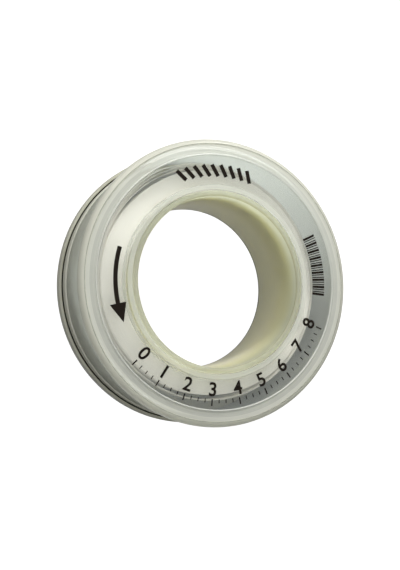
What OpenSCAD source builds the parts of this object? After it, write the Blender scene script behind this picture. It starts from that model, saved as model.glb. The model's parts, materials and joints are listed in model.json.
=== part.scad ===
// Thread seal tape roll: a two-piece snap spool with a wound tape inside.
// It lies on its back flange, with the axis along +Z and the front face up.
// Lengths are in millimetres, angles in degrees.

/* [Tape] */
// Width of the tape
tape_w = 12; // [9:0.5:25]
// Thickness of the tape
tape_t = 0.075; // [0.06:0.005:0.1]
// Length of the tape on the hub
tape_len = 8000; // [5000:500:15000]
// Share of its free thickness that the tape keeps under the pull of winding
tape_squeeze = 0.9; // [0.7:0.05:1]
// Angle at which the loose turn leaves the pack, from +X
loose_start = 60; // [0:5:360]
// How far round the loose turn goes to the free end
loose_sweep = 380; // [200:10:400]
// How slowly the loose turn lifts off at first
loose_ease = 1.5; // [1:0.1:3]

/* [Spool] */
// Diameter of the bore through the hub
bore_d = 31; // [20:0.5:45]
// Wall of the hub tube
hub_wall = 0.9; // [0.7:0.1:2]
// Thickness of the back flange's plate
back_plate = 1.0; // [0.6:0.1:1.4]
// Height of the rim round the back flange
back_rim_h = 2.0; // [1.8:0.1:3]
// Height of the bead that the hub carries at its front end
hub_bead = 0.1; // [0.05:0.05:0.3]
// Length of that bead along the hub
hub_bead_len = 1.4; // [1:0.1:2]
// How far the hub's end stands proud of the front face
hub_proud = 0.2; // [0.15:0.05:0.6]

/* [Cover] */
// Thickness of the front face plate
face_plate = 1.0; // [0.6:0.1:1.4]
// Height of the rim round the front face
front_rim_h = 1.7; // [1.2:0.1:2.4]
// How far the skirt is set in from the rims
skirt_inset = 1.0; // [0.9:0.1:1.6]
// Wall of the skirt
skirt_wall = 0.8; // [0.6:0.1:1.5]
// Width of the bead at the skirt's end
skirt_bead_w = 2.4; // [1.6:0.1:3.4]
// How far that bead stands out from the skirt
skirt_bead_out = 0.2; // [0.1:0.05:0.3]
// Open seam between that bead and the back rim round it
seam = 0.2; // [0.1:0.05:0.3]
// Gap between the skirt's end and the back flange's plate
skirt_float = 0.4; // [0.2:0.1:0.8]
// Wall of the collar that runs on the hub
collar_wall = 1.0; // [0.6:0.1:1.6]
// Length of the collar below the face plate
collar_len = 1.8; // [1:0.1:3]
// Height of the lip that the collar raises on the front face
lip_h = 0.15; // [0.1:0.05:0.3]
// Distance of the thin ring on the front face from the rim's edge
ring_inset = 3; // [2:0.1:6]
// Width of that ring
ring_w = 0.35; // [0.3:0.05:1]
// Height of that ring
ring_h = 0.2; // [0.1:0.05:0.3]

/* [Fits] */
// Running clearance between the hub's bead and the cover's collar
run_clear = 0.08; // [0.04:0.01:0.1]
// Gap between the tape and what it lies on
tape_gap = 0.05; // [0.02:0.01:0.2]
// Room between the pack of tape and the skirt
tape_room = 3.165; // [1.5:0.005:6]
// Play of the tape under the collar
tape_float = 0.75; // [0.2:0.05:2]
// Gap between the loose turn and the pack inside it or the wall outside it
loose_gap = 0.3; // [0.2:0.05:0.5]

/* [Rounding] */
// Edge radius of the front rim where it turns into the face
front_rim_round = 1.15; // [0.4:0.05:1.3]
// Edge radius of the front rim behind, over the skirt
overhang_round = 0.4; // [0.2:0.05:0.6]
// Edge radius of the back rim
back_rim_round = 0.7; // [0.3:0.05:0.9]
// Edge radius of the hub's ends
hub_round = 0.4; // [0.2:0.05:0.5]
// Edge radius of the skirt's bead, the thin ring and the lip
fine_round = 0.1; // [0.04:0.01:0.12]
// Radius in the inside corners
fillet = 0.3; // [0.1:0.05:0.5]

/* [Hidden] */
$fn = 180;
arc_steps = 6;
loose_steps = 96;

// Radii, from the bore outwards: hub, pack of tape, room for it, skirt and rims
bore_r = bore_d / 2;
hub_r = bore_r + hub_wall;
bead_r = hub_r + hub_bead;
winding_in_r = hub_r + tape_gap;
winding_r = sqrt(pow(winding_in_r, 2) + tape_len * tape_t * tape_squeeze / PI);
skirt_in_r = winding_r + tape_room;
skirt_r = skirt_in_r + skirt_wall;
outer_r = skirt_r + skirt_inset;
bead_out_r = skirt_r + skirt_bead_out;
back_rim_in_r = bead_out_r + seam;
collar_in_r = bead_r + run_clear;
collar_r = collar_in_r + collar_wall;
ring_r = outer_r - ring_inset;
loose_in_r = winding_r + loose_gap;
loose_out_r = skirt_in_r - loose_gap;

// Heights, from the back face upwards: flange, tape, collar, face plate and hub end
tape_z = back_plate + tape_gap;
collar_z = tape_z + tape_w + tape_float;
plate_z = collar_z + collar_len;
face_z = plate_z + face_plate;
hub_top = face_z + hub_proud;
skirt_z = back_plate + skirt_float;

// A rim's roundings share its height and its wall, and the one over the skirt stays within the overhang
front_round = min(front_rim_round, 0.7 * front_rim_h);
under_round = min(overhang_round, 0.25 * front_rim_h, 0.95 * skirt_inset);
back_round = min(back_rim_round, 0.48 * back_rim_h);
back_top_round = min(back_round, 0.6 * (outer_r - back_rim_in_r));
winding_round = fillet + tape_gap;

// Unit vector along v
function unit(v) = v / norm(v);

// Arc of the given radius that rounds corner b between its neighbours a and c
function corner_arc(a, b, c, radius) =
    let (
        back = unit(a - b),
        ahead = unit(c - b),
        half = acos(back * ahead) / 2,
        centre = b + unit(back + ahead) * radius / sin(half),
        start = b + back * radius / tan(half) - centre,
        turn = sign(cross(b - a, c - b)) * (180 - 2 * half),
        from = atan2(start.y, start.x)
    )
    [for (i = [0 : arc_steps])
        let (angle = from + turn * i / arc_steps)
        centre + radius * [cos(angle), sin(angle)]];

// Closed outline from corners [x, y, radius], each rounded where its radius is not 0
function rounded(corners) =
    let (count = len(corners), points = [for (c = corners) [c.x, c.y]])
    [for (i = [0 : count - 1])
        each corners[i].z == 0
            ? [points[i]]
            : corner_arc(points[(i + count - 1) % count], points[i],
                         points[(i + 1) % count], corners[i].z)];

// Point of the loose turn's middle line at share t of its length: a slow spiral off the pack
function loose_radius(t) = loose_in_r + (loose_out_r - loose_in_r) * pow(t, loose_ease);
function loose_point(t, offset = 0) =
    let (angle = loose_start - loose_sweep * t, radius = loose_radius(t) + offset)
    radius * [cos(angle), sin(angle)];

// Least gap of the loose turn to itself, measured between points half a turn or more apart
function loose_self_gap() =
    let (
        apart = ceil(loose_steps * 180 / loose_sweep),
        points = [for (i = [0 : loose_steps]) loose_point(i / loose_steps)]
    )
    min([for (i = [0 : loose_steps], j = [0 : loose_steps])
        if (j - i >= apart) norm(points[j] - points[i])]) - tape_t;

// Hub tube and back flange in one moulding
module spool() {
    bead_z = hub_top - hub_bead_len;
    color("ivory")
    rotate_extrude()
    polygon(rounded([
        [bore_r, 0, hub_round],
        [outer_r, 0, back_round],
        [outer_r, back_rim_h, back_top_round],
        [back_rim_in_r, back_rim_h, fine_round],
        [back_rim_in_r, back_plate, fillet],
        [hub_r, back_plate, fillet],
        [hub_r, bead_z, 0],
        [bead_r, bead_z + hub_bead, 0],
        [bead_r, hub_top, hub_round],
        [bore_r, hub_top, hub_round],
    ]));
}

// Tight pack of tape on the hub
module tape_winding() {
    color("white")
    translate([0, 0, tape_z])
    rotate_extrude()
    polygon(rounded([
        [winding_in_r, 0, winding_round],
        [winding_r, 0, winding_round],
        [winding_r, tape_w, winding_round],
        [winding_in_r, tape_w, winding_round],
    ]));
}

// Last turn of the tape, which stands off the pack and ends free
module tape_loose_turn() {
    half_t = tape_t / 2;
    shares = [for (i = [0 : loose_steps]) i / loose_steps];
    outer_edge = [for (t = shares) loose_point(t, half_t)];
    inner_edge = [for (i = [loose_steps : -1 : 0]) loose_point(i / loose_steps, -half_t)];
    color("whitesmoke")
    translate([0, 0, tape_z])
    linear_extrude(tape_w)
    polygon(concat(outer_edge, inner_edge));
}

// Front face plate, collar and skirt in one moulding
module cover() {
    bead_top = skirt_z + skirt_bead_w;
    rim_z = face_z - front_rim_h;
    ring_out_r = ring_r + ring_w / 2;
    ring_in_r = ring_r - ring_w / 2;
    color("gainsboro")
    rotate_extrude()
    polygon(rounded([
        [collar_in_r, collar_z, fine_round],
        [collar_r, collar_z, fine_round],
        [collar_r, plate_z, fillet],
        [skirt_in_r, plate_z, fillet],
        [skirt_in_r, skirt_z, fine_round],
        [bead_out_r, skirt_z, fine_round],
        [bead_out_r, bead_top, fine_round],
        [skirt_r, bead_top + skirt_bead_out, 0],
        [skirt_r, rim_z, 0],
        [outer_r, rim_z, under_round],
        [outer_r, face_z, front_round],
        [ring_out_r, face_z, 0],
        [ring_out_r - fine_round, face_z + ring_h, fine_round],
        [ring_in_r + fine_round, face_z + ring_h, fine_round],
        [ring_in_r, face_z, 0],
        [collar_r, face_z, 0],
        [collar_r - fine_round, face_z + lip_h, fine_round],
        [collar_in_r, face_z + lip_h, fine_round],
    ]));
}

echo(least_gap_of_loose_turn = loose_self_gap());

spool();
tape_winding();
tape_loose_turn();
cover();
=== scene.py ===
"""Thread seal tape roll: two milky mouldings that snap together, wound tape inside and print on the face.

Lengths are in metres, in the part's own frame: the bore runs along +Z and the front face looks up.
"""
import json
import math

import bmesh
import bpy
from mathutils import Matrix, Vector


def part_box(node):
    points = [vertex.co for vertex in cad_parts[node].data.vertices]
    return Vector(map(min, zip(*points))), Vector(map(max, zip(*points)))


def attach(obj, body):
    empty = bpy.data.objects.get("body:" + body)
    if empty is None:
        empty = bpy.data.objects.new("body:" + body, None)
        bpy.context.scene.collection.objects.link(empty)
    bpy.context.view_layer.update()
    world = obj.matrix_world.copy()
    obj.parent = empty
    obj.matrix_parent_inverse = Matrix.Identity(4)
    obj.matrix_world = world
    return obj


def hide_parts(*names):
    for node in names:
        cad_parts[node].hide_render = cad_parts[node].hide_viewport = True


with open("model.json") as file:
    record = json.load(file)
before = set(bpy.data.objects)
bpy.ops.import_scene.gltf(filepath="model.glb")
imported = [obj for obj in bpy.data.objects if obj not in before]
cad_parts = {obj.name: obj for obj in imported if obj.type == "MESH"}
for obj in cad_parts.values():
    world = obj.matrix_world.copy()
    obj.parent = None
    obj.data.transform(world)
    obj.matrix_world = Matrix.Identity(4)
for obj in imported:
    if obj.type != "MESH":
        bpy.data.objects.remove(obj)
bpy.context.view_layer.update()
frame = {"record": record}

MM = 0.001
TAU = 2 * math.pi

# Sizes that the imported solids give
cover_low, cover_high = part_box("cover")
spool_low, spool_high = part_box("spool")
pack_low, pack_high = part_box("tape_winding")
mounts = {mount["name"]: mount for mount in frame["record"]["mounts"]}
bore_r = mounts["core_bore"]["dims"]["r_mm"] * MM
outer_r = cover_high.x
skirt_z = cover_low.z
hub_top = spool_high.z
pack_r = pack_high.x
tape_z = pack_low.z
tape_w = pack_high.z - pack_low.z

# Walls and steps of the spool
hub_wall = 0.9 * MM
hub_bead = 0.1 * MM
hub_bead_len = 1.4 * MM
back_plate = 1.0 * MM
back_rim_h = 2.0 * MM

# Walls and steps of the cover
face_plate = 1.0 * MM
front_rim_h = 1.7 * MM
skirt_inset = 1.0 * MM
skirt_wall = 0.8 * MM
skirt_bead_w = 2.4 * MM
skirt_bead_out = 0.2 * MM
seam = 0.2 * MM
collar_wall = 1.0 * MM
collar_len = 1.8 * MM
lip_h = 0.15 * MM
ring_inset = 3.0 * MM
ring_w = 0.35 * MM
ring_h = 0.2 * MM
run_clear = 0.08 * MM

# Edge radii, and the most of the back rim's wall that one takes
back_round_share = 0.6
front_rim_round = 1.15 * MM
overhang_round = 0.4 * MM
back_rim_round = 0.7 * MM
hub_round = 0.4 * MM
fine_round = 0.1 * MM
fillet = 0.3 * MM

# Radii that follow
hub_r = bore_r + hub_wall
bead_r = hub_r + hub_bead
collar_in_r = bead_r + run_clear
collar_r = collar_in_r + collar_wall
skirt_r = outer_r - skirt_inset
skirt_in_r = skirt_r - skirt_wall
bead_out_r = skirt_r + skirt_bead_out
back_rim_in_r = bead_out_r + seam
back_top_round = min(back_rim_round, back_round_share * (outer_r - back_rim_in_r))
ring_r = outer_r - ring_inset
ring_out_r = ring_r + ring_w / 2
ring_in_r = ring_r - ring_w / 2

# Heights that follow
bead_z = hub_top - hub_bead_len
bore_edge_z = hub_top - 1.5 * hub_round
bore_foot_z = spool_low.z + 2 * hub_round
tape_middle_z = tape_z + tape_w / 2
face_z = cover_high.z - ring_h
plate_z = face_z - face_plate
collar_z = plate_z - collar_len
rim_z = face_z - front_rim_h
skirt_bead_z = skirt_z + skirt_bead_w

# How finely the turned pieces are cut: steps round, step of an arc, distance of the close points beside a
# bend, longest step along a wall, and the distance within which points are welded
TURN_STEPS = 256
ARC_STEP = math.radians(9)
GUARD = 0.04 * MM
LONGEST_STEP = 0.7 * MM
WELD = 1e-7

# How each wall looks: its milk, from 0, clear, to 1, dense, the share of light that glows on through it,
# and its painted shade, from 0 to 1, which darkens its colour and glow where shade falls: nearly black in
# the seam, and darker on the rims, their outer edges, the bore's ends and the walls beside the tape
WALL_LOOKS = ("milk", "glow", "shade")
FACE = (0.13, 0.50, 0.0)
BAND = (0.66, 0.50, 0.0)
RING = (0.60, 0.25, 0.0)
ROOT = (0.75, 0.45, 0.0)
# Painted shade: ROOT_LINE darkens a line at the skirt's root, RIM and BACK_RIM darken the rims, and
# RIM_EDGE, BACK_EDGE and BORE_EDGE darken the rims' outer edges and the bore's ends
ROOT_LINE = (0.45, 0.50, 0.2)
RIM = (0.95, 0.45, 0.13)
RIM_EDGE = (0.95, 0.45, 0.42)
COLLAR = (0.30, 0.65, 0.0)
LIP = (0.55, 0.50, 0.0)
SKIRT = (0.92, 0.72, 0.02)
# Painted shade: SKIRT_INSIDE and FLANGE_INSIDE darken the walls of the trench between the tape and the
# skirt
SKIRT_INSIDE = (0.92, 0.78, 0.22)
SKIRT_END = (0.95, 0.45, 0.0)
# Painted shade: SEAM paints the walls of the open seam between cover and spool nearly black
SEAM = (0.97, 0.45, 0.97)
BACK_RIM = (0.95, 0.45, 0.22)
BACK_EDGE = (0.95, 0.45, 0.45)
FLANGE = (0.95, 0.45, 0.0)
FLANGE_INSIDE = (0.95, 0.45, 0.10)
HUB = (0.97, 0.45, 0.0)
HUB_END = (0.92, 0.84, 0.03)
BORE_EDGE = (0.92, 0.60, 0.36)
root_line_w = 0.12 * MM

# Tape: where its turns start, its film, its gap to the hub and how far its edges sink in
TAPE_START = math.radians(60)
tape_t = 0.075 * MM
tape_gap = 0.05 * MM
edge_sink = 0.9 * MM

# Tight pack: its turns press together towards one angle and are dented at another
PACK_TURNS = 68
PACK_STEPS = 96
PACK_FILL = 0.98
PACK_GLOW = 0.02
PACK_SEED = 3.0
PRESS_ANGLE = math.radians(135)
PRESS_SHARPNESS = 40.0
DENT_ANGLE = math.radians(258)
pack_press = 0.3 * MM
pack_dent = 0.6 * MM
pack_edge_wander = 0.35 * MM

# Loose turns: they start close to the pack, fan out towards one angle and tilt there
LOOSE_TURNS = 3.06
LOOSE_STEPS = 160
LOOSE_CUTS = 5
LOOSE_GLOW = 0.6
LOOSE_SEED = 8.0
FAN_ANGLE = math.radians(112)
FAN_SHARPNESS = 12.0
loose_first_gap = 0.15 * MM
loose_last_gap = 0.4 * MM
loose_fan = 2.4 * MM
loose_tilt = 1.2 * MM
loose_edge_wander = 0.25 * MM
loose_slack = 0.2 * MM
loose_crease = 0.04 * MM

# How the tape's unevenness runs: the circle its noise is read on, its drift with each lap and its curves
SWAY_CIRCLE = 1.0
SWAY_DRIFT = 0.35
SWAY_SCALE = 1.3
EDGE_CIRCLE = 0.5
EDGE_DRIFT = 0.45
CREASES_A_LAP = 26.0
CREASES_ACROSS = 1.1
DENT_SHARPNESS = 3.0
SINK_CURVE = 2.0

# Print on the face: thickness and how much of it lies above the plastic
ink_t = 0.03 * MM
ink_proud = 0.02 * MM


# Node trees


def add(tree, kind, feed=None, out=0, **settings):
    """Adds a node, sets it, feeds its inputs with values or sockets, and returns one of its outputs."""
    node = tree.nodes.new(kind)
    for name, value in settings.items():
        setattr(node, name, value)
    for key, value in (feed or {}).items():
        if isinstance(value, bpy.types.NodeSocket):
            tree.links.new(value, node.inputs[key])
        else:
            node.inputs[key].default_value = value
    return node.outputs[out]


def calc(tree, operation, a, b=0.0, c=0.0):
    """One step of arithmetic on numbers or sockets."""
    return add(tree, "ShaderNodeMath", {0: a, 1: b, 2: c}, operation=operation)


def polar(tree, radius, angle, height):
    """A point given by its distance from the axis, its angle round it and its height."""
    return add(tree, "ShaderNodeCombineXYZ", {
        "X": calc(tree, "MULTIPLY", radius, calc(tree, "COSINE", angle)),
        "Y": calc(tree, "MULTIPLY", radius, calc(tree, "SINE", angle)),
        "Z": height,
    })


def axes_of(tree, vector):
    """The X, Y and Z of a vector."""
    return add(tree, "ShaderNodeSeparateXYZ", {"Vector": vector}).node.outputs


def shape_tree(name, inputs):
    """A geometry tree with a geometry in and out and named inputs, each of the given socket type."""
    tree = bpy.data.node_groups.new(name, "GeometryNodeTree")
    tree.interface.new_socket("Geometry", in_out="INPUT", socket_type="NodeSocketGeometry")
    for label, kind in inputs.items():
        tree.interface.new_socket(label, in_out="INPUT", socket_type="NodeSocket" + kind)
    tree.interface.new_socket("Geometry", in_out="OUTPUT", socket_type="NodeSocketGeometry")
    return tree, tree.nodes.new("NodeGroupInput").outputs


def end_tree(tree, geometry, material, smooth=True):
    """Ends a geometry tree: one plain mesh with its shading and material."""
    real = add(tree, "GeometryNodeRealizeInstances", {"Geometry": geometry})
    shaded = add(tree, "GeometryNodeSetShadeSmooth", {"Geometry": real, "Shade Smooth": smooth})
    done = add(tree, "GeometryNodeSetMaterial", {"Geometry": shaded, "Material": material})
    tree.links.new(done, tree.nodes.new("NodeGroupOutput").inputs[0])
    return tree


def stored(tree, geometry, name, value):
    """Keeps a number for each point of the geometry under that name."""
    return add(tree, "GeometryNodeStoreNamedAttribute",
               {"Geometry": geometry, "Name": name, "Value": value}, data_type="FLOAT", domain="POINT")


def named(tree, name):
    """The number that the points keep under that name."""
    return add(tree, "GeometryNodeInputNamedAttribute", {"Name": name}, data_type="FLOAT")


def grown(name, tree, values, base=None):
    """A new object whose plain mesh is what the geometry tree makes of the base mesh and these values."""
    start = base or bpy.data.meshes.new(name)
    piece = bpy.data.objects.new(name, start)
    bpy.context.scene.collection.objects.link(piece)
    modifier = piece.modifiers.new(name, "NODES")
    modifier.node_group = tree
    for item in tree.interface.items_tree:
        if item.in_out == "INPUT" and item.name in values:
            modifier[item.identifier] = values[item.name]
    graph = bpy.context.evaluated_depsgraph_get()
    made = bpy.data.meshes.new_from_object(piece.evaluated_get(graph))
    piece.modifiers.remove(modifier)
    piece.data = made
    bpy.data.meshes.remove(start)
    made.name = name
    return piece


def turned_tree():
    """Turns a closed profile in the XZ plane round the Z axis and carries the looks of its walls along."""
    tree, given = shape_tree("Turned moulding", {"Steps": "Int", "Material": "Material"})
    profile = given["Geometry"]
    count = add(tree, "GeometryNodeAttributeDomainSize", {"Geometry": profile}, component="MESH")
    rows = calc(tree, "ADD", count, 1.0)
    columns = calc(tree, "ADD", given["Steps"], 1.0)
    grid = add(tree, "GeometryNodeMeshGrid", {"Vertices X": columns, "Vertices Y": rows})
    index = add(tree, "GeometryNodeInputIndex")
    column = calc(tree, "FLOOR", calc(tree, "DIVIDE", calc(tree, "ADD", index, 0.5), rows))
    row = calc(tree, "SUBTRACT", index, calc(tree, "MULTIPLY", column, rows))
    row = calc(tree, "MODULO", row, count)
    angle = calc(tree, "DIVIDE", calc(tree, "MULTIPLY", column, TAU), given["Steps"])
    corner = add(tree, "GeometryNodeSampleIndex", {
        "Geometry": profile,
        "Index": row,
        "Value": add(tree, "GeometryNodeInputPosition"),
    }, data_type="FLOAT_VECTOR")
    apart = axes_of(tree, corner)
    spot = polar(tree, apart["X"], angle, apart["Z"])
    for look in WALL_LOOKS:
        value = add(tree, "GeometryNodeSampleIndex",
                    {"Geometry": profile, "Index": row, "Value": named(tree, look)}, data_type="FLOAT")
        grid = stored(tree, grid, look, value)
    moved = add(tree, "GeometryNodeSetPosition", {"Geometry": grid, "Position": spot})
    closed = add(tree, "GeometryNodeMergeByDistance", {"Geometry": moved, "Distance": WELD})
    return end_tree(tree, closed, given["Material"])


def bearing(tree, angle, towards, sharpness):
    """1 towards an angle, falling to 0 on the far side, the faster the sharper."""
    facing = calc(tree, "COSINE", calc(tree, "SUBTRACT", angle, towards))
    return calc(tree, "POWER", calc(tree, "MULTIPLY_ADD", facing, 0.5, 0.5), sharpness)


def wound_tree():
    """Winds a strip on edge in a spiral round the Z axis, clockwise and outwards.

    Its radius grows from the inner to the outer one, and its turns spread apart, or press together, towards
    the lean angle, where the tilt draws their front edges back in. A wide dent, which grows from the first
    turn to the last, presses them in towards its own angle. Slack makes the strip stand off in places, its
    edges wander inwards along the axis and sink in towards the outer turns, and creases run across it. Each
    point keeps its lap, its lean and its share of the width.
    """
    tree, given = shape_tree("Wound strip", {
        "Inner radius": "Float", "Outer radius": "Float", "Lean": "Float", "Lean angle": "Float",
        "Lean sharpness": "Float", "Tilt": "Float", "Dent": "Float", "Dent angle": "Float",
        "Start angle": "Float", "Turns": "Float", "Steps": "Int",
        "Thickness": "Float", "Width": "Float", "Base": "Float", "Cuts": "Int",
        "Edge wander": "Float", "First sink": "Float", "Last sink": "Float",
        "Slack": "Float", "Crease": "Float", "Seed": "Float",
        "Material": "Material",
    })
    line = add(tree, "GeometryNodeMeshLine", {"Count": calc(tree, "ADD", given["Steps"], 1.0)})
    share = calc(tree, "DIVIDE", add(tree, "GeometryNodeInputIndex"), given["Steps"])
    lap = calc(tree, "MULTIPLY", share, given["Turns"])
    angle = calc(tree, "MULTIPLY_ADD", lap, -TAU, given["Start angle"])
    growth = calc(tree, "SUBTRACT", given["Outer radius"], given["Inner radius"])
    radius = calc(tree, "MULTIPLY_ADD", growth, share, given["Inner radius"])
    towards = bearing(tree, angle, given["Lean angle"], given["Lean sharpness"])
    leaning = calc(tree, "MULTIPLY", share, towards)
    radius = calc(tree, "MULTIPLY_ADD", given["Lean"], leaning, radius)
    facing = bearing(tree, angle, given["Dent angle"], DENT_SHARPNESS)
    dent = calc(tree, "MULTIPLY", given["Dent"], share)
    radius = calc(tree, "SUBTRACT", radius, calc(tree, "MULTIPLY", dent, facing))
    drift = calc(tree, "MULTIPLY", lap, SWAY_DRIFT)
    sway_spot = polar(tree, SWAY_CIRCLE, angle, calc(tree, "ADD", given["Seed"], drift))
    sway = add(tree, "ShaderNodeTexNoise", {"Vector": sway_spot, "Scale": SWAY_SCALE, "Detail": 1.0})
    held = calc(tree, "SINE", calc(tree, "MULTIPLY", share, math.pi))
    freedom = calc(tree, "MULTIPLY", held, given["Slack"])
    sway = calc(tree, "MULTIPLY", calc(tree, "SUBTRACT", sway, 0.5), freedom)
    middle = calc(tree, "MULTIPLY_ADD", given["Width"], 0.5, given["Base"])
    line = stored(tree, line, "lap", lap)
    line = stored(tree, line, "leaning", leaning)
    spiral = add(tree, "GeometryNodeSetPosition", {
        "Geometry": line,
        "Position": polar(tree, calc(tree, "ADD", radius, sway), angle, middle),
    })
    curve = add(tree, "GeometryNodeMeshToCurve", {"Mesh": spiral})
    curve = add(tree, "GeometryNodeSetCurveNormal", {"Curve": curve}, mode="Z_UP")
    section = add(tree, "GeometryNodeCurvePrimitiveQuadrilateral",
                  {"Width": given["Thickness"], "Height": given["Width"]})
    section = add(tree, "GeometryNodeSubdivideCurve", {"Curve": section, "Cuts": given["Cuts"]})
    strip = add(tree, "GeometryNodeCurveToMesh",
                {"Curve": curve, "Profile Curve": section, "Fill Caps": True})

    apart = axes_of(tree, add(tree, "GeometryNodeInputPosition"))
    across = calc(tree, "DIVIDE", calc(tree, "SUBTRACT", apart["Z"], given["Base"]), given["Width"])
    strip = stored(tree, strip, "across", across)
    own_lap = named(tree, "lap")
    own_across = named(tree, "across")
    around = calc(tree, "ARCTAN2", apart["Y"], apart["X"])
    edge_drift = calc(tree, "MULTIPLY_ADD", own_lap, EDGE_DRIFT, given["Seed"])
    edge_spot = polar(tree, EDGE_CIRCLE, around, edge_drift)
    edge = add(tree, "ShaderNodeTexNoise", {"Vector": edge_spot, "Scale": 1.0, "Detail": 3.0})
    side = calc(tree, "MULTIPLY_ADD", own_across, -2.0, 1.0)
    outwards = calc(tree, "POWER", calc(tree, "DIVIDE", own_lap, given["Turns"]), SINK_CURVE)
    deeper = calc(tree, "SUBTRACT", given["Last sink"], given["First sink"])
    sink = calc(tree, "MULTIPLY_ADD", deeper, outwards, given["First sink"])
    inwards = calc(tree, "MULTIPLY", calc(tree, "MULTIPLY_ADD", edge, given["Edge wander"], sink), side)
    crease_spot = add(tree, "ShaderNodeCombineXYZ", {
        "X": calc(tree, "MULTIPLY", own_lap, CREASES_A_LAP),
        "Y": calc(tree, "MULTIPLY", own_across, CREASES_ACROSS),
        "Z": given["Seed"],
    })
    crease = add(tree, "ShaderNodeTexNoise", {"Vector": crease_spot, "Scale": 1.0, "Detail": 2.0})
    fold = calc(tree, "MULTIPLY", calc(tree, "SUBTRACT", crease, 0.5), given["Crease"])
    tilt = calc(tree, "MULTIPLY", given["Tilt"], named(tree, "leaning"))
    tilt = calc(tree, "MULTIPLY", tilt, own_across)
    offset = polar(tree, calc(tree, "SUBTRACT", fold, tilt), around, inwards)
    strip = add(tree, "GeometryNodeSetPosition", {"Geometry": strip, "Offset": offset})
    return end_tree(tree, strip, given["Material"])


def bars_tree():
    """A row of flat bars round an arc. They start at one radius, and every so many is longer and wider."""
    tree, given = shape_tree("Row of bars", {
        "Count": "Int", "First angle": "Float", "Last angle": "Float", "Radius": "Float",
        "Length": "Float", "Width": "Float", "Every": "Int", "Long length": "Float", "Long width": "Float",
        "Slant": "Float", "Height": "Float", "Thickness": "Float", "Material": "Material",
    })
    line = add(tree, "GeometryNodeMeshLine", {"Count": given["Count"]})
    index = add(tree, "GeometryNodeInputIndex")
    share = calc(tree, "DIVIDE", index, calc(tree, "SUBTRACT", given["Count"], 1.0))
    span = calc(tree, "SUBTRACT", given["Last angle"], given["First angle"])
    angle = calc(tree, "MULTIPLY_ADD", span, share, given["First angle"])
    long = calc(tree, "LESS_THAN", calc(tree, "MODULO", index, given["Every"]), 0.5)
    more = calc(tree, "SUBTRACT", given["Long length"], given["Length"])
    length = calc(tree, "MULTIPLY_ADD", more, long, given["Length"])
    wider = calc(tree, "SUBTRACT", given["Long width"], given["Width"])
    width = calc(tree, "MULTIPLY_ADD", wider, long, given["Width"])
    radius = calc(tree, "MULTIPLY_ADD", length, 0.5, given["Radius"])
    points = add(tree, "GeometryNodeSetPosition",
                 {"Geometry": line, "Position": polar(tree, radius, angle, given["Height"])})
    turn = add(tree, "ShaderNodeCombineXYZ", {"Z": calc(tree, "ADD", angle, given["Slant"])})
    bars = add(tree, "GeometryNodeInstanceOnPoints", {
        "Points": points,
        "Instance": add(tree, "GeometryNodeMeshCube", {"Size": (1.0, 1.0, 1.0)}),
        "Rotation": add(tree, "FunctionNodeEulerToRotation", {"Euler": turn}),
        "Scale": add(tree, "ShaderNodeCombineXYZ", {"X": length, "Y": width, "Z": given["Thickness"]}),
    })
    return end_tree(tree, bars, given["Material"], smooth=False)


# Materials

# Plastic: the scales of its noise, how much each shows in its milk, its gloss and its relief
CLOUD_SCALE = 190.0
CLOUD_SHARE = 0.05
MOULD_LINE_SCALE = 4200.0
MOULD_LINE_SHARE = 0.08
MOULD_LINE_RELIEF = 0.6
GLOSS_SCALE = 900.0
GRAIN_SCALE = 2600.0
PLASTIC_ROUGHNESS = (0.24, 0.38)
RELIEF_DEPTH = 0.01 * MM

# Plastic: the dark colour that painted shade blends towards, and the shares of glow that look dim and full
PAINTED_SHADE_COLOUR = (0.03, 0.03, 0.022, 1.0)
GLOW_RANGE = (0.45, 0.80)

# Tape: how its streaks and turns run and mix, and its colours
STREAKS_A_LAP = 1.5
STREAKS_ACROSS = 60.0
STREAK_SHARE = 0.35
TURN_SCALE = 0.55
TURN_SHARE = 0.65
TONE_RANGE = (0.3, 0.7)
TAPE_DULL = (0.87, 0.845, 0.74, 1.0)
TAPE_BRIGHT = (0.97, 0.955, 0.88, 1.0)
TAPE_GLOW = (0.96, 0.95, 0.92, 1.0)
TAPE_ROUGHNESS = (0.5, 0.7)

# Ink: the scale of its patches, its colours and its gloss
PATCH_SCALE = 1500.0
INK_DARK = (0.004, 0.003, 0.002, 1.0)
INK_PALE = (0.012, 0.008, 0.005, 1.0)
INK_ROUGHNESS = (0.5, 0.7)


def new_material(name):
    """A material with one Principled shader, its tree and its shader's inputs."""
    material = bpy.data.materials.new(name)
    material.use_nodes = True
    tree = material.node_tree
    return material, tree, tree.nodes["Principled BSDF"].inputs


def object_spot(tree):
    """The place on the piece, in the part's own frame."""
    return add(tree, "ShaderNodeTexCoord", out="Object")


def kept(tree, name):
    """The number that the piece's points keep under that name."""
    return add(tree, "ShaderNodeAttribute", out="Fac", attribute_name=name)


def noise(tree, spot, scale, detail=2.0):
    """Cloudy noise from 0 to 1."""
    return add(tree, "ShaderNodeTexNoise", {"Vector": spot, "Scale": scale, "Detail": detail})


def line_noise(tree, place, scale, detail):
    """Noise from 0 to 1 along one line."""
    return add(tree, "ShaderNodeTexNoise", {"W": place, "Scale": scale, "Detail": detail},
               noise_dimensions="1D")


def blend_colour(tree, share, first, second):
    """A colour between two others, by the numbers of the Mix node's colour sockets."""
    return add(tree, "ShaderNodeMix", {0: share, 6: first, 7: second}, out=2, data_type="RGBA")


def spread(tree, value, low, high, start=0.0, end=1.0):
    """Maps a value from start to end onto low to high."""
    return add(tree, "ShaderNodeMapRange", {
        "Value": value, "From Min": start, "From Max": end, "To Min": low, "To Max": high})


def glowing(tree, onwards, glow):
    """The Principled shader, of which a share of the light glows on through instead."""
    coat = tree.nodes["Principled BSDF"].outputs[0]
    return add(tree, "ShaderNodeMixShader", {0: onwards, 1: coat, 2: glow})


def show(tree, surface):
    """Makes a shader the material's surface."""
    tree.links.new(surface, tree.nodes["Material Output"].inputs["Surface"])


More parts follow.
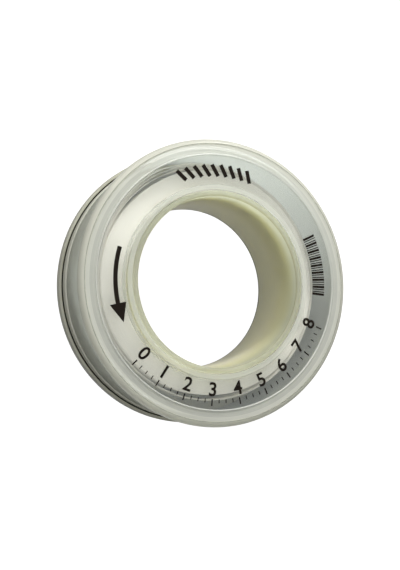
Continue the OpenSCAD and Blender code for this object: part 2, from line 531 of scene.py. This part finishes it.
def milky_plastic(name, thin_colour, thick_colour, dim_glow, full_glow):
    """Natural moulded plastic: clear and cool where its milk is thin, creamy where dense, glowing through.

    The mould's turned lines and a faint cloudiness show in its milk, and a fine grain in its gloss. Each
    wall's painted shade darkens its colour and glow towards a dark colour.
    """
    material, tree, shader = new_material(name)
    spot = object_spot(tree)
    apart = axes_of(tree, spot)
    flat = add(tree, "ShaderNodeCombineXYZ", {"X": apart["X"], "Y": apart["Y"]})
    radius = add(tree, "ShaderNodeVectorMath", {0: flat}, out="Value", operation="LENGTH")
    path = calc(tree, "ADD", radius, apart["Z"])
    milk = kept(tree, "milk")
    cloud = noise(tree, spot, CLOUD_SCALE)
    lines = line_noise(tree, calc(tree, "MULTIPLY", path, MOULD_LINE_SCALE), scale=1.0, detail=2.0)
    uneven = calc(tree, "ADD", spread(tree, cloud, -CLOUD_SHARE, CLOUD_SHARE),
                  spread(tree, lines, -MOULD_LINE_SHARE, MOULD_LINE_SHARE))
    # Painted shade: each wall's share of shade darkens its base colour here and its glow below towards a
    # dark colour
    shade = kept(tree, "shade")
    colour = blend_colour(tree, calc(tree, "ADD", milk, uneven), thin_colour, thick_colour)
    tree.links.new(blend_colour(tree, shade, colour, PAINTED_SHADE_COLOUR), shader["Base Color"])
    gloss = noise(tree, spot, GLOSS_SCALE, detail=3.0)
    tree.links.new(spread(tree, gloss, *PLASTIC_ROUGHNESS), shader["Roughness"])
    relief = calc(tree, "MULTIPLY_ADD", lines, MOULD_LINE_RELIEF, noise(tree, spot, GRAIN_SCALE))
    bump = add(tree, "ShaderNodeBump", {"Strength": 0.25, "Distance": RELIEF_DEPTH, "Height": relief})
    tree.links.new(bump, shader["Normal"])
    shader["IOR"].default_value = 1.49
    shader["Specular IOR Level"].default_value = 0.2
    onwards = kept(tree, "glow")
    glow_share = spread(tree, onwards, 0.0, 1.0, *GLOW_RANGE)
    glow_colour = blend_colour(tree, glow_share, dim_glow, full_glow)
    through = blend_colour(tree, shade, glow_colour, PAINTED_SHADE_COLOUR)
    glow = add(tree, "ShaderNodeBsdfTranslucent", {"Color": through, "Normal": bump})
    solid = glowing(tree, onwards, glow)
    clear = add(tree, "ShaderNodeBsdfTransparent")
    veil = calc(tree, "MULTIPLY", milk, calc(tree, "ADD", uneven, 1.0))
    show(tree, add(tree, "ShaderNodeMixShader", {0: veil, 1: clear, 2: solid}))
    return material


def seal_tape(name, onwards):
    """White unsintered film: soft and matt, with streaks along it and turns that differ a little.

    A share of the light glows on through it, more in loose turns than in a pack.
    """
    material, tree, shader = new_material(name)
    lap = kept(tree, "lap")
    drawn = add(tree, "ShaderNodeCombineXYZ", {
        "X": calc(tree, "MULTIPLY", lap, STREAKS_A_LAP),
        "Y": calc(tree, "MULTIPLY", kept(tree, "across"), STREAKS_ACROSS),
    })
    streak = noise(tree, drawn, scale=1.0, detail=3.0)
    turn = calc(tree, "MULTIPLY", line_noise(tree, lap, TURN_SCALE, detail=3.0), TURN_SHARE)
    tone = calc(tree, "MULTIPLY_ADD", streak, STREAK_SHARE, turn)
    tone = spread(tree, tone, 0.0, 1.0, *TONE_RANGE)
    tree.links.new(blend_colour(tree, tone, TAPE_DULL, TAPE_BRIGHT), shader["Base Color"])
    tree.links.new(spread(tree, streak, *TAPE_ROUGHNESS), shader["Roughness"])
    bump = add(tree, "ShaderNodeBump", {"Strength": 0.3, "Distance": RELIEF_DEPTH, "Height": streak})
    tree.links.new(bump, shader["Normal"])
    shader["Sheen Weight"].default_value = 0.15
    glow = add(tree, "ShaderNodeBsdfTranslucent", {"Color": TAPE_GLOW, "Normal": bump})
    show(tree, glowing(tree, onwards, glow))
    return material


def face_ink():
    """Dark brown printing ink, thin and a little uneven."""
    material, tree, shader = new_material("face_ink")
    patch = noise(tree, object_spot(tree), PATCH_SCALE, detail=4.0)
    tree.links.new(blend_colour(tree, patch, INK_DARK, INK_PALE), shader["Base Color"])
    tree.links.new(spread(tree, patch, *INK_ROUGHNESS), shader["Roughness"])
    shader["Specular IOR Level"].default_value = 0.06
    return material


# Turned mouldings


def corner_arc(before, corner, after, radius):
    """Points of the arc that rounds a corner between its neighbours, or a sharp corner alone."""
    if not radius:
        return [corner]
    back = (before - corner).normalized()
    ahead = (after - corner).normalized()
    half = back.angle(ahead) / 2
    centre = corner + (back + ahead).normalized() * (radius / math.sin(half))
    start = corner + back * (radius / math.tan(half)) - centre
    side = 1 if (corner - before).cross(after - corner) > 0 else -1
    turn = side * (math.pi - 2 * half)
    steps = max(3, math.ceil(abs(turn) / ARC_STEP))
    return [centre + Matrix.Rotation(turn * i / steps, 2) @ start for i in range(steps + 1)]


def rounded(corners):
    """A closed outline as (point, looks) pairs, with close points beside each bend.

    Each corner is its radius from the axis, its height, its rounding and the look of the wall that follows
    it. Where a corner names two looks, that wall fades from the first to the second.
    """
    count = len(corners)
    places = [Vector(corner[:2]) for corner in corners]
    rounds = [corner[2] for corner in corners]
    first_looks = [Vector(corner[3]) for corner in corners]
    last_looks = [Vector(corner[-1]) for corner in corners]
    bends = [
        corner_arc(places[i - 1], places[i], places[(i + 1) % count], rounds[i])
        for i in range(count)
    ]
    outline = []
    for i, bend in enumerate(bends):
        last = max(1, len(bend) - 1)
        for k, point in enumerate(bend):
            outline.append((point, last_looks[i - 1].lerp(first_looks[i], k / last)))
        start, end = bend[-1], bends[(i + 1) % count][0]
        length = (end - start).length
        if length < 3 * GUARD:
            continue
        steps = max(1, math.ceil((length - 2 * GUARD) / LONGEST_STEP))
        for k in range(steps + 1):
            share = (GUARD + (length - 2 * GUARD) * k / steps) / length
            outline.append((start.lerp(end, share), first_looks[i].lerp(last_looks[i], share)))
    return outline


def profile_mesh(name, corners):
    """The outline of a turned piece as a loop of edges in the XZ plane, with the looks of its walls."""
    outline = rounded(corners)
    count = len(outline)
    mesh = bpy.data.meshes.new(name)
    mesh.from_pydata([(p.x, 0, p.y) for p, _ in outline], [(i, (i + 1) % count) for i in range(count)], [])
    for index, look in enumerate(WALL_LOOKS):
        values = mesh.attributes.new(look, "FLOAT", "POINT")
        values.data.foreach_set("value", [looks[index] for _, looks in outline])
    return mesh


spool_corners = [
    (bore_r, spool_low.z, hub_round, FLANGE),
    (outer_r, spool_low.z, back_rim_round, BACK_EDGE),
    (outer_r, back_rim_h, back_top_round, BACK_RIM),
    (back_rim_in_r, back_rim_h, fine_round, SEAM),
    (back_rim_in_r, back_plate, fillet, SEAM, FLANGE_INSIDE),
    (skirt_in_r, back_plate, 0, FLANGE_INSIDE),
    (hub_r, back_plate, fillet, HUB),
    (hub_r, pack_high.z, 0, HUB, HUB_END),
    (hub_r, bead_z, 0, HUB_END),
    (bead_r, bead_z + hub_bead, 0, HUB_END),
    (bead_r, hub_top, hub_round, HUB_END),
    (bore_r, hub_top, hub_round, BORE_EDGE),
    (bore_r, bore_edge_z, 0, HUB_END, HUB),
    (bore_r, tape_middle_z, 0, HUB),
    (bore_r, bore_foot_z, 0, BACK_EDGE),
]

cover_corners = [
    (collar_in_r, collar_z, fine_round, COLLAR),
    (collar_r, collar_z, fine_round, COLLAR),
    (collar_r, plate_z, fillet, FACE),
    (skirt_in_r, plate_z, fillet, SKIRT_INSIDE),
    (skirt_in_r, skirt_z, fine_round, SEAM),
    (bead_out_r, skirt_z, fine_round, SEAM),
    (bead_out_r, back_rim_h, 0, SKIRT_END),
    (bead_out_r, skirt_bead_z, fine_round, SKIRT_END),
    (skirt_r, skirt_bead_z + skirt_bead_out, 0, SKIRT),
    (skirt_r, rim_z, 0, RIM),
    (outer_r, rim_z, overhang_round, RIM_EDGE),
    (outer_r, face_z, front_rim_round, RIM),
    (skirt_r + root_line_w, face_z, 0, ROOT_LINE),
    (skirt_r, face_z, 0, ROOT),
    (skirt_in_r, face_z, 0, BAND),
    (ring_out_r, face_z, 0, RING),
    (ring_out_r - fine_round, face_z + ring_h, fine_round, RING),
    (ring_in_r + fine_round, face_z + ring_h, fine_round, RING),
    (ring_in_r, face_z, 0, FACE),
    (collar_r, face_z, 0, COLLAR),
    (collar_r - fine_round, face_z + lip_h, fine_round, LIP),
    (collar_in_r, face_z + lip_h, fine_round, COLLAR),
]

turning = turned_tree()
spool_plastic = milky_plastic(
    "spool_plastic",
    thin_colour=(0.78, 0.81, 0.72, 1.0), thick_colour=(0.88, 0.885, 0.77, 1.0),
    dim_glow=(0.86, 0.80, 0.32, 1.0), full_glow=(0.89, 0.90, 0.79, 1.0))
cover_plastic = milky_plastic(
    "cover_plastic",
    thin_colour=(0.74, 0.79, 0.82, 1.0), thick_colour=(0.92, 0.91, 0.79, 1.0),
    dim_glow=(0.88, 0.90, 0.83, 1.0), full_glow=(0.86, 0.90, 0.87, 1.0))

spool_body = grown("spool_body", turning, {"Steps": TURN_STEPS, "Material": spool_plastic},
                   profile_mesh("spool_profile", spool_corners))
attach(spool_body, "spool")
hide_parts("spool")

cover_shell = grown("cover_shell", turning, {"Steps": TURN_STEPS, "Material": cover_plastic},
                    profile_mesh("cover_profile", cover_corners))
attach(cover_shell, "cover")
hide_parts("cover")


# Tape

winding = wound_tree()
pack_film = seal_tape("pack_film", PACK_GLOW)
free_film = seal_tape("free_film", LOOSE_GLOW)
pack_inner = hub_r + tape_gap
layer = (pack_r - pack_inner) / (PACK_TURNS + 1)

tape_pack = grown("tape_pack", winding, {
    "Inner radius": pack_inner + layer / 2, "Outer radius": pack_r - layer / 2,
    "Lean": -pack_press, "Lean angle": PRESS_ANGLE, "Lean sharpness": PRESS_SHARPNESS, "Tilt": 0.0,
    "Dent": pack_dent, "Dent angle": DENT_ANGLE,
    "Start angle": TAPE_START, "Turns": float(PACK_TURNS), "Steps": PACK_TURNS * PACK_STEPS,
    "Thickness": PACK_FILL * layer, "Width": tape_w, "Base": tape_z, "Cuts": 0,
    "Edge wander": pack_edge_wander, "First sink": 0.0, "Last sink": edge_sink,
    "Slack": 0.0, "Crease": 0.0, "Seed": PACK_SEED,
    "Material": pack_film,
})
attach(tape_pack, "spool")
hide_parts("tape_winding")

tape_free_turns = grown("tape_free_turns", winding, {
    "Inner radius": pack_r + loose_first_gap, "Outer radius": pack_r + loose_last_gap,
    "Lean": loose_fan, "Lean angle": FAN_ANGLE, "Lean sharpness": FAN_SHARPNESS, "Tilt": loose_tilt,
    "Dent": 0.0, "Dent angle": DENT_ANGLE,
    "Start angle": TAPE_START, "Turns": LOOSE_TURNS, "Steps": round(LOOSE_TURNS * LOOSE_STEPS),
    "Thickness": tape_t, "Width": tape_w, "Base": tape_z, "Cuts": LOOSE_CUTS,
    "Edge wander": loose_edge_wander, "First sink": edge_sink, "Last sink": edge_sink,
    "Slack": loose_slack, "Crease": loose_crease, "Seed": LOOSE_SEED,
    "Material": free_film,
})
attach(tape_free_turns, "loose_turn")
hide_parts("tape_loose_turn")


# Print on the face: a scale with plain numbers, a row of bars, slanted thread lines and an arrow

ink = face_ink()
ink_middle = face_z + ink_proud - ink_t / 2
bars = bars_tree()
NUMBER_WEIGHT = 0.02


def on_cover(piece):
    """Print moves with the cover; its ink is given where the print is made."""
    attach(piece, "cover")


def bar_row(name, count, first, last, radius, length, width,
            every=1, long_length=None, long_width=None, slant=0.0):
    """A printed row of bars between two angles in degrees."""
    on_cover(grown(name, bars, {
        "Count": count, "First angle": math.radians(first), "Last angle": math.radians(last),
        "Radius": radius, "Length": length, "Width": width, "Every": every,
        "Long length": long_length or length, "Long width": long_width or width,
        "Slant": math.radians(slant), "Height": ink_middle, "Thickness": ink_t, "Material": ink,
    }))


def joined(name, meshes):
    """One object from several meshes, with the ink on it."""
    form = bmesh.new()
    for mesh in meshes:
        form.from_mesh(mesh)
        bpy.data.meshes.remove(mesh)
    made = bpy.data.meshes.new(name)
    form.to_mesh(made)
    form.free()
    made.materials.append(ink)
    piece = bpy.data.objects.new(name, made)
    bpy.context.scene.collection.objects.link(piece)
    return piece


def arc_point(radius, angle):
    """A point on a circle at an angle in degrees."""
    turn = math.radians(angle)
    return radius * math.cos(turn), radius * math.sin(turn)


def number_mesh(value, size, radius, angle):
    """A printed number on the face, its foot to the rim, centred on an angle in degrees."""
    text = bpy.data.curves.new("number", "FONT")
    text.body = str(value)
    text.size = size
    text.align_x = "CENTER"
    text.align_y = "CENTER"
    text.extrude = ink_t / 2
    text.offset = NUMBER_WEIGHT * size
    holder = bpy.data.objects.new("number", text)
    bpy.context.scene.collection.objects.link(holder)
    graph = bpy.context.evaluated_depsgraph_get()
    mesh = bpy.data.meshes.new_from_object(holder.evaluated_get(graph))
    bpy.data.objects.remove(holder)
    bpy.data.curves.remove(text)
    place = Vector((*arc_point(radius, angle), ink_middle))
    turn = Matrix.Rotation(math.radians(angle) + math.pi / 2, 4, "Z")
    mesh.transform(Matrix.Translation(place) @ turn)
    return mesh


def flat_mesh(name, outline):
    """A flat printed shape from its outline on the face, given as points round it."""
    form = bmesh.new()
    face = form.faces.new([form.verts.new((x, y, ink_middle - ink_t / 2)) for x, y in outline])
    raised = bmesh.ops.extrude_face_region(form, geom=[face])["geom"]
    tops = [item for item in raised if isinstance(item, bmesh.types.BMVert)]
    bmesh.ops.translate(form, verts=tops, vec=(0, 0, ink_t))
    bmesh.ops.recalc_face_normals(form, faces=form.faces)
    mesh = bpy.data.meshes.new(name)
    form.to_mesh(mesh)
    form.free()
    return mesh


def band_mesh(name, radius, width, first, last, steps):
    """A printed line along an arc between two angles in degrees."""
    angles = [first + (last - first) * i / steps for i in range(steps + 1)]
    outer = [arc_point(radius + width / 2, angle) for angle in angles]
    inner = [arc_point(radius - width / 2, angle) for angle in reversed(angles)]
    return flat_mesh(name, outer + inner)


scale_first, scale_last = 222.0, 338.0
scale_steps, scale_parts = 8, 4
number_step = (scale_last - scale_first) / scale_steps
bar_row("scale_marks", count=scale_steps * scale_parts + 1, first=scale_first, last=scale_last,
        radius=21.0 * MM, length=0.7 * MM, width=0.16 * MM,
        every=scale_parts, long_length=1.2 * MM, long_width=0.24 * MM)
on_cover(joined("scale_numbers", [
    number_mesh(i, size=3.4 * MM, radius=19.4 * MM, angle=scale_first + number_step * i)
    for i in range(scale_steps + 1)
]))

bar_row("row_of_bars", count=25, first=26.0, last=-5.0,
        radius=18.8 * MM, length=2.5 * MM, width=0.18 * MM, every=3, long_width=0.42 * MM)

bar_row("thread_lines", count=9, first=112.0, last=74.0,
        radius=18.9 * MM, length=2.4 * MM, width=0.75 * MM, slant=28.0)

arrow_r = 19.6 * MM
arrow_half = 1.5 * MM
arrow_first, arrow_neck, arrow_tip = 164.0, 193.0, 203.0
on_cover(joined("turn_arrow", [
    band_mesh("shaft", arrow_r, width=0.8 * MM, first=arrow_first, last=arrow_neck, steps=24),
    flat_mesh("head", [
        arc_point(arrow_r + arrow_half, arrow_neck),
        arc_point(arrow_r, arrow_tip),
        arc_point(arrow_r - arrow_half, arrow_neck),
    ]),
]))


# Stage: floor, lamps, world and camera

WHITE = (1.0, 1.0, 1.0, 1.0)
FLOOR_COLOUR = (0.22, 0.22, 0.21, 1.0)
FLOOR_WHITE = 0.97
WORLD_GLOW = 0.02
floor_half = 0.6
floor_drop = 0.02 * MM


def seen_directly(tree):
    """1 for rays that show the backdrop itself: from the camera, in gloss or through clear parts."""
    path = add(tree, "ShaderNodeLightPath").node.outputs
    either = calc(tree, "MAXIMUM", path["Is Camera Ray"], path["Is Glossy Ray"])
    shown = calc(tree, "MAXIMUM", either, path["Is Transmission Ray"])
    return calc(tree, "MULTIPLY", shown, calc(tree, "SUBTRACT", 1.0, path["Is Diffuse Ray"]))


def add_output(tree, kind):
    """The surface input of a new output node."""
    return tree.nodes.new(kind).inputs["Surface"]


def pale_floor():
    """A flat white floor under the part, which keeps a faint shadow."""
    material = bpy.data.materials.new("pale_floor")
    material.use_nodes = True
    tree = material.node_tree
    tree.nodes.clear()
    lit = add(tree, "ShaderNodeBsdfDiffuse", {"Color": FLOOR_COLOUR})
    strength = calc(tree, "MULTIPLY", seen_directly(tree), FLOOR_WHITE)
    white = add(tree, "ShaderNodeEmission", {"Color": WHITE, "Strength": strength})
    both = add(tree, "ShaderNodeAddShader", {0: lit, 1: white})
    tree.links.new(both, add_output(tree, "ShaderNodeOutputMaterial"))
    mesh = bpy.data.meshes.new("floor")
    corners = [(x * floor_half, y * floor_half, 0) for x, y in ((-1, -1), (1, -1), (1, 1), (-1, 1))]
    mesh.from_pydata(corners, [], [(0, 1, 2, 3)])
    mesh.transform(Matrix.Translation((0, 0, spool_low.z - floor_drop)))
    mesh.materials.append(material)
    floor = bpy.data.objects.new("floor", mesh)
    bpy.context.scene.collection.objects.link(floor)


def soft_lamp(name, azimuth, elevation, distance, size, watts):
    """A square soft box that looks at the part from an azimuth and elevation in degrees."""
    light = bpy.data.lights.new(name, "AREA")
    light.size = size
    light.energy = watts
    lamp = bpy.data.objects.new(name, light)
    turn, rise = math.radians(azimuth), math.radians(elevation)
    towards = Vector((math.cos(turn) * math.cos(rise), math.sin(turn) * math.cos(rise), math.sin(rise)))
    lamp.location = towards * distance + Vector((0, 0, face_z / 2))
    lamp.rotation_euler = towards.to_track_quat("Z", "Y").to_euler()
    bpy.context.scene.collection.objects.link(lamp)


def soft_world():
    """An even, weak glow all round, white where it is seen."""
    world = bpy.data.worlds.new("soft_world")
    world.use_nodes = True
    tree = world.node_tree
    tree.nodes.clear()
    strength = spread(tree, seen_directly(tree), WORLD_GLOW, 1.0)
    glow = add(tree, "ShaderNodeBackground", {"Color": WHITE, "Strength": strength})
    tree.links.new(glow, add_output(tree, "ShaderNodeOutputWorld"))
    bpy.context.scene.world = world


def photo_camera():
    """A camera at the photograph's viewing angle, with the part's +Y up in the picture."""
    place = Vector((-63.6, -13.9, 161.4)) * MM
    aim = Vector((-3.56, -0.70, 15.58)) * MM
    data = bpy.data.cameras.new("camera")
    data.lens = 55.96
    data.sensor_width = 36.0
    data.clip_start = 1 * MM
    camera = bpy.data.objects.new("camera", data)
    back = (place - aim).normalized()
    right = Vector((0, 1, 0)).cross(back).normalized()
    above = back.cross(right)
    turn = Matrix((right, above, back)).transposed().to_4x4()
    camera.matrix_world = Matrix.Translation(place) @ turn
    bpy.context.scene.collection.objects.link(camera)
    bpy.context.scene.camera = camera


pale_floor()
soft_lamp("key_lamp", azimuth=67, elevation=30, distance=0.25, size=0.04, watts=0.55)
soft_lamp("top_lamp", azimuth=110, elevation=25, distance=0.5, size=0.3, watts=0.9)
soft_lamp("near_lamp", azimuth=120, elevation=22, distance=0.15, size=0.12, watts=0.075)
soft_lamp("front_lamp", azimuth=215, elevation=68, distance=0.3, size=0.24, watts=0.51)
soft_world()
photo_camera()
bpy.context.scene.view_settings.view_transform = "Standard"
